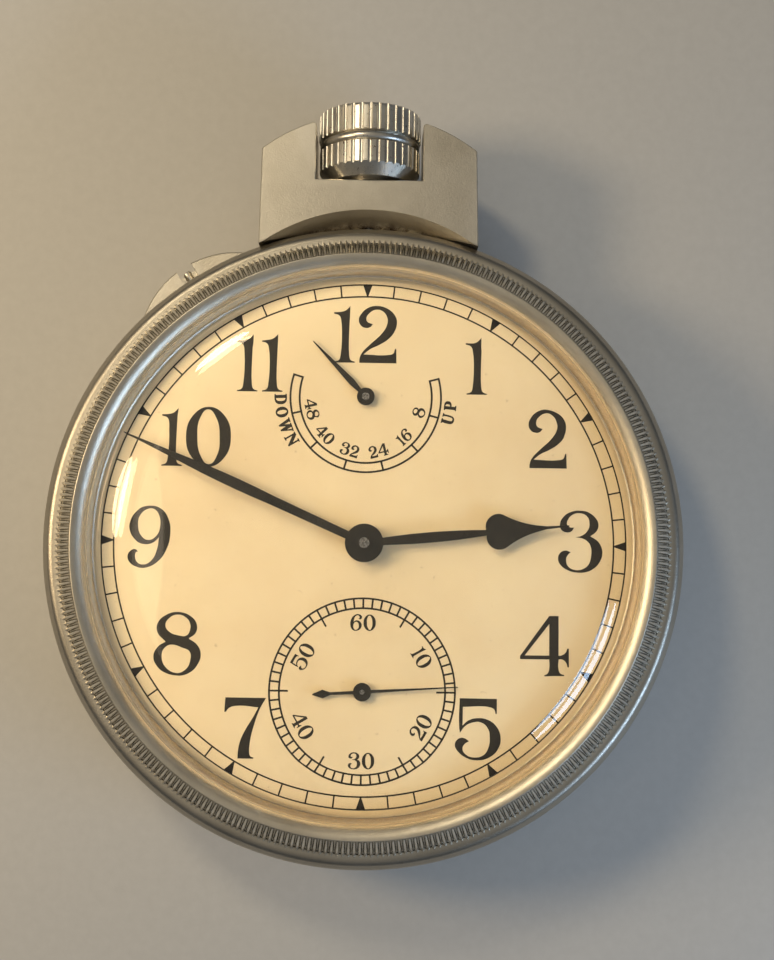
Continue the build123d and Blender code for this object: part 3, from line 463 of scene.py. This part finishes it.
def bezel():
    """Screwed bezel: smooth flange, milled band up to the rim, and a lip falling to the crystal."""
    z0, rim, flange = BEZEL_LOW.z, BEZEL_HIGH.z, BEZEL_HIGH.x
    ledge, neck, opening = z0 + 2.25, 31.95, 29.85
    seat_r, seat_low, seat_top = 30.55, 17.05, 18.45
    bm = bmesh.new()
    # out along the flange, up behind the ridges, over the rim, and down the lip to the seat
    turned(bm, profile_of([
        (neck, z0), (flange - 0.3, z0), ((flange - 0.08, z0 + 0.1), (flange - 0.02, z0 + 0.4)),
        ((flange - 0.08, z0 + 1.1), (flange - 0.5, z0 + 1.72)),
        ((flange - 0.85, z0 + 2.1), (flange - 1.35, ledge)),
        (MILLED_R - 0.4, ledge), (MILLED_R - 0.45, z0 + 2.7), ((32.5, 17.0), (31.0, rim - 0.42)),
        (31.02, rim - 0.2), ((31.04, rim - 0.04), (30.9, rim)),
        ((30.42, rim - 0.15), (opening, rim - 0.65)),
        (opening, seat_top), (seat_r, seat_top), (seat_r, seat_low), (neck, seat_low)], 7))
    crest = profile_of([
        (MILLED_R, ledge + 0.02), (MILLED_R, ledge + 0.45), ((33.43, 15.42), (33.2, 15.58))], 3)
    crest += arc(crest[-1], (32.55, 17.65), (31.16, rim - 0.22), 9)
    milled_band(bm, crest, (-0.28, -0.24), [(30.85, rim - 0.65), (MILLED_R - 0.7, ledge - 0.1)])
    piece = finish_mesh(bm, "milled_bezel", "bezel_ring", NICKEL, MILLED, GROOVE)
    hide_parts("bezel")


def back():
    """Screwed back: flat with a turned groove, milled band and smooth flange."""
    flange, top = BACK_HIGH.x, BACK_HIGH.z
    foot, edge = 2.75, (31.35, 0.5)
    bm = bmesh.new()
    # out along the flat back, up behind the ridges, over the flange, and back inside
    turned_disc(bm, profile_of([
        (0, 0), (26.55, 0), (26.7, 0.18), (27.1, 0.18), (27.25, 0), (30.6, 0),
        ((31.0, 0.12), (31.3, 0.45)), (31.25, 0.7), ((32.4, 1.6), (MILLED_R - 0.4, foot)),
        ((34.5, foot + 0.3), (flange, foot + 1.2)), (flange, top - 0.15), (flange - 0.15, top),
        (31.95, top), (31.95, 2.3), (29.6, 2.3), (28.8, 1.2), (0, 1.2)], 7))
    crest = profile_of([
        (MILLED_R, foot - 0.02), (MILLED_R, foot - 0.3), ((33.43, 2.25), (33.2, 2.1))], 3)
    crest += arc(crest[-1], (32.45, 1.05), edge, 7)
    milled_band(bm, crest, (-0.28, 0.24), [(31.0, 0.85), (MILLED_R - 0.7, foot + 0.1)])
    piece = finish_mesh(bm, "milled_back", "back_cover", NICKEL, MILLED, GROOVE)
    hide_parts("case_back")


def shoulder(radius, first, last, steps=28):
    """Points of the round shoulder of the crystal, from one angle above the floor to another."""
    centre = (23.17, 14.92)
    angles = [math.radians(first + (last - first) * k / steps) for k in range(steps + 1)]
    return [(centre[0] + radius * math.cos(a), centre[1] + radius * math.sin(a)) for a in angles]


def dome(rim, height, steps=24):
    """Points from the axis out to the rim, on the sphere through the rim and the top."""
    rise = height - rim[1]
    sphere = (rim[0] ** 2 + rise ** 2) / (2 * rise)
    radii = [rim[0] * k / steps for k in range(steps)]
    return [(radius, height - sphere + math.sqrt(sphere ** 2 - radius ** 2)) for radius in radii]


def crystal():
    """Nearly flat dome with a wide round shoulder, standing on a foot in the seat of the bezel."""
    edge, foot, top, wall = CRYSTAL_HIGH.x, CRYSTAL_LOW.z, CRYSTAL_HIGH.z, 1.7
    step, shoulder_r, columns = 18.4, 7.79, 360
    outside = shoulder(shoulder_r, 31.6, 87.5)
    inside = shoulder(shoulder_r - wall, 87.5, 25)
    bm = bmesh.new()
    turned_disc(bm, dome(inside[0], top - wall) + inside + [
        (28.75, foot + 0.1), (28.85, foot), (edge - 0.1, foot), (edge, foot + 0.1), (edge, step - 0.1),
        (edge - 0.1, step), (29.8, step)] + outside + dome(outside[-1], top)[::-1], columns)
    for face in bm.faces:
        middle = face.calc_center_median() / MM
        if middle.z < step + 0.02 and middle.to_2d().length > 28.8:
            face.material_index = 1         # the foot shows the cement
    piece = finish_mesh(bm, "domed_crystal", "bezel_ring", FINISHES["crystal"], CEMENT,
                        sharp_degrees=50)
    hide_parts("crystal")


# ---- figures and letters --------------------------------------------------------
# A glyph is (width, contours), with the baseline at 0. A contour is a list of
# smooth points; a point with a third value is a corner.
C = 1


def oval(cx, cy, rx, ry, lean=0.0, points=8):
    """A closed oval of smooth points; lean slides its top to the left."""
    return [(cx + rx * math.sin(t) - lean * math.cos(t), cy + ry * math.cos(t))
            for t in (2 * math.pi * k / points for k in range(points))]


def turned_over(glyph, top=103):
    """The glyph turned by half a turn, as 6 is made from 9, with its lowest point from the top."""
    width, contours = glyph
    return width, [[(width - p[0], top - p[1], *p[2:]) for p in contour] for contour in contours]


GLYPHS = {
    "0": (77, [oval(38.4, 50.8, 38.4, 51.6), oval(38.4, 50.8, 19, 47.2, 1.5)]),
    "1": (37, [
        [(0, 87, C), (8.6, 84), (12, 77.5), (12.3, 12), (9.7, 4.6), (2, 1.8, C), (2, 0, C),
         (37, 0, C), (37, 1.8, C), (30, 4.6), (27.4, 12), (28, 100.5, C), (19.5, 92.5), (10, 90),
         (0, 89.5, C)]]),
    "2": (66, [
        [(1.8, 0, C), (2, 6.5), (5.4, 16), (19.4, 31.5), (40.5, 52), (48.5, 66), (49.3, 80),
         (42.5, 91.5), (31, 95), (19, 89.5), (13, 79), (15, 71.5), (20, 69), (24.2, 67.5, C),
         (19.4, 62.3), (11.8, 61), (3.8, 65), (0, 74.5), (3.4, 86), (15, 97.5), (31, 101.6),
         (49.5, 97), (62, 86), (66, 72), (62, 55.5), (51.5, 42), (36.5, 32), (20, 23.8),
         (8.8, 14.6, C), (53, 14.4), (60, 16.8), (63, 25, C), (65.2, 25, C), (65.8, 0, C)]]),
    "3": (78, [
        [(27.6, 75, C), (23, 68.6), (13.3, 67), (4.8, 72.4), (3.6, 82), (11, 95), (24, 102.4),
         (37, 104.3), (55, 100.6), (67, 91), (71, 79.6), (67, 68.6), (56, 60.6, C), (69, 53),
         (76, 42), (77.6, 31.5), (73.5, 17.5), (62, 4.8), (47, -0.8), (32.5, -1.6), (16.6, 2.4),
         (4.6, 11), (0.3, 21), (3.7, 31.4), (12.3, 35.7), (22, 33, C), (16.4, 27.6), (14, 19),
         (17.8, 8.6), (29, 3), (42, 4.2), (53, 13), (57.8, 28), (57, 42), (49.9, 52.4), (41, 57),
         (30.5, 58.6, C), (42, 62), (51, 70.6), (54.4, 83), (49.9, 94.6), (38, 99.8), (25, 97),
         (17.4, 89), (15.6, 80.4), (20, 75.6)]]),
    "4": (85, [
        [(49.5, 102, C), (65.4, 102, C), (65.6, 35, C), (71, 35.4), (78.6, 39.6), (81.2, 46.5, C),
         (84.2, 46.5, C), (84.4, 15, C), (82, 15, C), (79.4, 23), (73, 28), (66, 28.6, C),
         (66.6, 12), (69.6, 4.6), (76.4, 1.8, C), (76.4, 0, C), (41.5, 0, C), (41.5, 1.8, C),
         (46.8, 4.6), (49.6, 12), (49.7, 28.6, C), (0, 28.6, C), (0, 34, C)],
        [(8, 35, C), (49.6, 35, C), (49.6, 88.5, C)]]),
    "5": (78, [
        [(7.5, 103, C), (70.5, 102.4, C), (70.5, 77.4, C), (68.2, 77.4, C), (66.4, 84), (60, 88),
         (13, 88.6, C), (12.6, 57.4, C), (22, 65.6), (37, 69.8), (56, 67), (71, 55), (78, 36.6),
         (74, 18), (60.2, 4), (38.7, -1.6), (18.3, 3), (4.5, 14.6), (0, 24.8), (4.3, 34),
         (13, 36.8), (24, 31.4, C), (16, 26), (13, 19), (18.4, 8.4), (34, 3), (49.5, 7.4),
         (57.4, 20), (59.4, 37.4), (55, 53.6), (44, 62.8), (30, 62.6), (17, 56.4), (8.3, 44.8, C),
         (7, 55)]]),
    "7": (70, [
        [(1.6, 103, C), (70, 102.6, C), (59.4, 83.4), (50.6, 57.6), (44.6, 32), (42.6, 12.6),
         (44.6, 4.4), (50, 1.9, C), (50, 0, C), (23.2, 0, C), (23.6, 11), (26.6, 28), (36, 49),
         (48.8, 70.4), (57.4, 86.8, C), (17, 88.6), (7, 84.6), (3, 78.8, C), (0.2, 78.8, C),
         (0.8, 91)]]),
    "8": (81, [
        [(41, 105.6), (21.5, 100.6), (7.4, 87), (6.8, 72), (18.4, 58), (21.4, 55.4, C), (6.6, 45.4),
         (0, 29.6), (8.2, 11.4), (23, 1.4), (41, -1.8), (62.4, 3.4), (77, 19), (81.2, 35),
         (75, 50.4), (60.2, 61.2, C), (71.6, 70.4), (73.6, 84.4), (63.4, 98.4)],
        [(41, 101.2), (26, 94.6), (20.4, 82.6), (27.6, 71.8), (43, 66.2), (56, 66), (61.6, 73.6),
         (61.6, 87.6), (54, 97)],
        [(30, 50.4), (19.4, 44.4), (14, 30.4), (21.4, 11.4), (38.8, 2.8), (56, 9), (64, 26.4),
         (62, 39.4), (49.6, 45.6)]]),
    "9": (74, [
        [(37, 104.3), (15.4, 96), (3.4, 77.6), (3.2, 61.4), (14, 45.4), (31, 38.6), (45, 41.8),
         (54.6, 50.6, C), (51.6, 30), (43, 11.8), (30, 4.2), (17.4, 8.6), (13.4, 18.2),
         (15.2, 24.6), (19.6, 26, C), (14, 30.2), (5.2, 27.2), (0.3, 18.2), (5.4, 6.2),
         (19.4, -0.6), (33, -1.2), (53.6, 9.6), (67.6, 30), (73.6, 58), (70, 82), (57, 99.4)],
        [(37.4, 99.6), (21.8, 88.4), (18.4, 71), (24.6, 52.6), (36.6, 45.8), (49.4, 52.4), (56, 69),
         (53.8, 88.4), (47, 97.6)]]),
    "U": (84, [
        [(0, 100, C), (38, 100, C), (38, 96, C), (30, 93, C), (30, 30), (34, 13), (48, 8), (62, 14),
         (66, 30), (66, 93, C), (57, 96, C), (57, 100, C), (84, 100, C), (84, 96, C), (75, 93, C),
         (75, 30), (68, 8), (44, -2), (18, 6), (9, 28), (9, 93, C), (0, 96, C)]]),
    "P": (74, [
        [(0, 0, C), (40, 0, C), (40, 4, C), (30, 7, C), (30, 42, C), (44, 42), (66, 50), (74, 71),
         (66, 92), (44, 100), (0, 100, C), (0, 96, C), (9, 93, C), (9, 7, C), (0, 4, C)],
        [(30, 49, C), (42, 50), (51, 57), (53, 71), (51, 85), (42, 93), (30, 94, C)]]),
    "D": (84, [
        [(0, 0, C), (40, 0), (70, 10), (84, 50), (70, 90), (40, 100), (0, 100, C), (0, 96, C),
         (9, 93, C), (9, 7, C), (0, 4, C)],
        [(30, 7, C), (40, 7), (56, 18), (62, 50), (56, 82), (40, 93), (30, 93, C)]]),
    "O": (86, [oval(43, 50, 43, 52), oval(43, 50, 21, 45)]),
    "W": (120, [
        [(0, 100, C), (36, 100, C), (36, 96, C), (29, 93, C), (43, 34, C), (59, 92, C), (50, 96, C),
         (50, 100, C), (88, 100, C), (88, 96, C), (79, 93, C), (91, 36, C), (104, 93, C),
         (95, 96, C), (95, 100, C), (120, 100, C), (120, 96, C), (112, 93, C), (87, -1, C),
         (79, -1, C), (63, 60, C), (44, -1, C), (36, -1, C), (8, 93, C), (0, 96, C)]]),
    "N": (92, [
        [(0, 100, C), (27, 100, C), (75, 36, C), (75, 93, C), (66, 96, C), (66, 100, C),
         (92, 100, C), (92, 96, C), (83, 93, C), (83, -2, C), (76, -2, C), (17, 77, C), (17, 7, C),
         (27, 4, C), (27, 0, C), (0, 0, C), (0, 4, C), (9, 7, C), (9, 93, C), (0, 96, C)]]),
}
GLYPHS["6"] = turned_over(GLYPHS["9"])


class Lettering:
    """Printed figures gathered in one flat filled curve."""

    def __init__(self, name, bolder=0.0):
        """An empty curve; bolder widens each stroke by that much on both sides."""
        self.curve = bpy.data.curves.new(name, "CURVE")
        self.curve.offset = bolder * MM
        self.curve.dimensions = "2D"
        self.curve.fill_mode = "BOTH"
        self.curve.extrude = PRINT_HEIGHT / 2 * MM

    def write(self, text, centre, height, clock=0.0, gap=6.0):
        """Text centred on a point and turned clockwise by a clock angle."""
        widths = [GLYPHS[letter][0] for letter in text]
        left = -(sum(widths) + gap * (len(text) - 1)) / 2
        place = Matrix.Translation((*centre, 0)) @ Matrix.Rotation(math.radians(-clock), 4, "Z")
        place = place @ Matrix.Scale(height / GLYPH_HEIGHT, 4)
        for letter, width in zip(text, widths):
            for contour in GLYPHS[letter][1]:
                self.trace([place @ Vector((left + p[0], p[1] - GLYPH_HEIGHT / 2, 0)) for p in contour],
                           [len(p) > 2 for p in contour])
            left += width + gap

    def trace(self, points, corners):
        """One closed contour; straight between corners, smooth through the other points."""
        spline = self.curve.splines.new("BEZIER")
        spline.bezier_points.add(len(points) - 1)
        spline.use_cyclic_u = True
        spline.resolution_u = 1 if all(corners) else 5
        for knot, point, corner in zip(spline.bezier_points, points, corners):
            knot.co = point * MM
            kind = "VECTOR" if corner else "AUTO"
            knot.handle_left_type = knot.handle_right_type = kind

    def print_on(self, body, z):
        """The lettering as a thin mesh of ink lying at a height."""
        drawn = bpy.data.objects.new("lettering", self.curve)
        bpy.context.scene.collection.objects.link(drawn)
        bpy.context.view_layer.update()
        graph = bpy.context.evaluated_depsgraph_get()
        mesh = bpy.data.meshes.new_from_object(drawn.evaluated_get(graph))
        mesh.name = self.curve.name
        mesh.transform(Matrix.Translation((0, 0, (z + PRINT_HEIGHT / 2) * MM)))
        bpy.data.objects.remove(drawn)
        mesh.materials.clear()
        mesh.materials.append(INK)
        piece = bpy.data.objects.new(mesh.name, mesh)
        bpy.context.scene.collection.objects.link(piece)
        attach(piece, body)


def line(bm, a, b, width, z):
    """A printed stroke from a to b."""
    along = (Vector(b) - Vector(a)).normalized()
    side = Vector((-along.y, along.x)) * width / 2
    corners = [Vector(a) - side, Vector(b) - side, Vector(b) + side, Vector(a) + side]
    prism(bm, corners, z, z + PRINT_HEIGHT)


def ring_line(bm, radius, width, z, **where):
    """A printed circle, or part of one."""
    band(bm, radius - width / 2, radius + width / 2, z, z + PRINT_HEIGHT, **where)


def chapter_ring():
    """Minute track between two circles, with a solid wedge at every five minutes."""
    outer, inner, stroke = 28.35, 26.95, 0.17
    half_top, half_tip = math.degrees(0.52 / outer), 0.08       # half angles of a wedge
    tip = inner - 0.05
    bm = bmesh.new()
    for radius in (outer, inner):
        ring_line(bm, radius, stroke, DIAL_TOP)
    for minute in range(60):
        clock = 6 * minute
        if minute % 5:
            line(bm, on_clock(inner, clock), on_clock(outer, clock), stroke, DIAL_TOP)
            continue
        wedge = [on_clock(outer, clock - half_top), on_clock(outer, clock + half_top),
                 on_clock(tip, clock + half_tip), on_clock(tip, clock - half_tip)]
        prism(bm, wedge, DIAL_TOP, DIAL_TOP + PRINT_HEIGHT)
    finish_mesh(bm, "chapter_ring", "case", INK)


def hour_numerals():
    """Upright hour figures; the sub-seconds take the place of 6."""
    height = 6.3
    figures = Lettering("hour_numerals")
    centres = {"12": (-0.2, 22.7), "1": (11.9, 19.4), "2": (19.7, 11.5), "3": (23.3, 0.4),
               "4": (19.5, -10.8), "5": (12.4, -19.7), "7": (-12.4, -19.9), "8": (-19.8, -11.1),
               "9": (-23.1, 0.3), "10": (-18.3, 11.2), "11": (-11.6, 19.4)}
    for text, centre in centres.items():
        figures.write(text, centre, height)
    figures.print_on("case", DIAL_TOP)


def seconds_scale():
    """Sub-seconds track with sixty divisions and its radial figures."""
    outer, inner, long_tick, stroke = 9.9, 8.85, 7.9, 0.2
    bm = bmesh.new()
    for radius in (outer, inner):
        ring_line(bm, radius, stroke, DIAL_TOP, centre=FOURTH, steps=120)
    for second in range(60):
        start = long_tick if second % 10 == 5 else inner
        ends = [on_clock(radius, 6 * second, FOURTH) for radius in (start, outer)]
        line(bm, *ends, stroke, DIAL_TOP)
    finish_mesh(bm, "seconds_track", "case", INK)
    figures = Lettering("seconds_figures", 0.02)
    for second in range(10, 70, 10):
        clock = 6 * second % 360
        upright = clock < 90 or clock > 270
        figures.write(str(second), on_clock(7.3, clock, FOURTH), 1.65,
                      clock if upright else clock - 180, gap=12)
    figures.print_on("case", DIAL_TOP)


def indicator_scale():
    """Arc of the up-and-down indicator with its hours, read towards the centre."""
    outer, inner, stroke, start, end = 8.15, 7.15, 0.21, 75, 287
    bm = bmesh.new()
    for radius in (outer, inner):
        ring_line(bm, radius, stroke, DIAL_TOP, centre=UPDOWN, start=start, end=end, steps=90)
    marks = [start + (end - start) * k / 7 for k in range(8)]
    for clock in marks:
        ends = [on_clock(radius, clock, UPDOWN) for radius in (inner - stroke / 2, outer + stroke / 2)]
        line(bm, *ends, stroke, DIAL_TOP)
    finish_mesh(bm, "indicator_track", "case", INK)
    figures = Lettering("indicator_figures", 0.03)
    for k, clock in enumerate(marks[1:-1], 1):
        figures.write(str(8 * k), on_clock(6.0, clock, UPDOWN), 1.25, clock - 180, gap=12)
    figures.print_on("case", DIAL_TOP)
    indicator_letters()


def indicator_letters():
    """UP and DOWN beside the ends of the scale; the letters have to keep clear of each other."""
    letters = Lettering("indicator_letters", 0.04)
    clocks = {"U": 104.4, "P": 95.2, "D": 267.9, "O": 259.0, "W": 249.2, "N": 239.2}
    for letter, clock in clocks.items():
        letters.write(letter, on_clock(9.2, clock, UPDOWN), 1.25, clock - 180)
    letters.print_on("case", DIAL_TOP)


# ---- floor, lights and camera -----------------------------------------------------
def floor():
    """Plain pale floor just under the back."""
    bpy.ops.mesh.primitive_plane_add(size=3.0, location=(0, 0, -FLOOR_GAP * MM))
    plane = bpy.context.object
    plane.name = "floor"
    paint = Paint("pale_floor")
    grain = paint.noise(0.8, 4, 0.6)
    paint.set(Base_Color=paint.ramp(grain, [(0.3, (0.58, 0.575, 0.56)), (0.7, (0.61, 0.605, 0.59))]),
              Roughness=0.65, Normal=paint.bump(grain, 0.01))
    plane.data.materials.append(paint.material)


def softbox(name, place, target, size, power, colour):
    """An oval lamp at a place in millimetres, aimed at a target."""
    lamp = bpy.data.lights.new(name, "AREA")
    lamp.shape = "ELLIPSE"
    lamp.size, lamp.size_y = size[0] * MM, size[1] * MM
    lamp.energy = power
    lamp.color = colour
    holder = bpy.data.objects.new(name, lamp)
    bpy.context.scene.collection.objects.link(holder)
    holder.location = Vector(place) * MM
    aim = Vector(target) - Vector(place)
    holder.rotation_euler = aim.to_track_quat("-Z", "Y").to_euler()


def lights():
    """Warm window light from the left, and a cool window on the right."""
    middle = (0, 5, 12)
    softbox("warm_window", (-165, 34, 150), middle, (56, 60), 0.185, (1.0, 0.77, 0.47))
    softbox("high_window", (-105, 5, 300), middle, (120, 40), 0.012, (1.0, 0.86, 0.66))
    softbox("warm_top", (-110, 150, 230), (0, 36, 12), (50, 50), 0.155, (1.0, 0.84, 0.58))
    softbox("cool_window", (200, -112, 118), middle, (150, 36), 0.20, (0.52, 0.72, 1.0))


def studio_world():
    """Soft light from all round, warmer above and cooler below."""
    world = bpy.data.worlds.new("studio")
    world.use_nodes = True
    tree = world.node_tree
    up = tree.nodes.new("ShaderNodeSeparateXYZ")
    tree.links.new(tree.nodes.new("ShaderNodeTexCoord").outputs["Generated"], up.inputs[0])
    sky = tree.nodes.new("ShaderNodeValToRGB")
    stops = ((0.05, (0.035, 0.045, 0.06)), (0.45, (0.08, 0.085, 0.09)), (0.92, (0.26, 0.24, 0.205)))
    sky.color_ramp.elements.new(0.5)
    for element, (position, colour) in zip(sky.color_ramp.elements, stops):
        element.position, element.color = position, (*colour, 1)
    tree.links.new(up.outputs[2], sky.inputs[0])
    tree.links.new(sky.outputs[0], tree.nodes["Background"].inputs["Color"])
    bpy.context.scene.world = world


def camera():
    """Nearly straight above the dial."""
    lens = bpy.data.cameras.new("camera")
    lens.lens, lens.sensor_width = 50.0, 36.0
    lens.clip_start, lens.clip_end = 0.005, 10
    holder = bpy.data.objects.new("camera", lens)
    bpy.context.scene.collection.objects.link(holder)
    holder.location = Vector((0.5, -4.1, 160.0)) * MM
    holder.rotation_euler = (0.076, -0.014, 0.013)
    bpy.context.scene.camera = holder


bezel()
back()
crystal()
chapter_ring()
hour_numerals()
seconds_scale()
indicator_scale()
floor()
lights()
studio_world()
camera()
bpy.context.scene.view_settings.view_transform = "Standard"
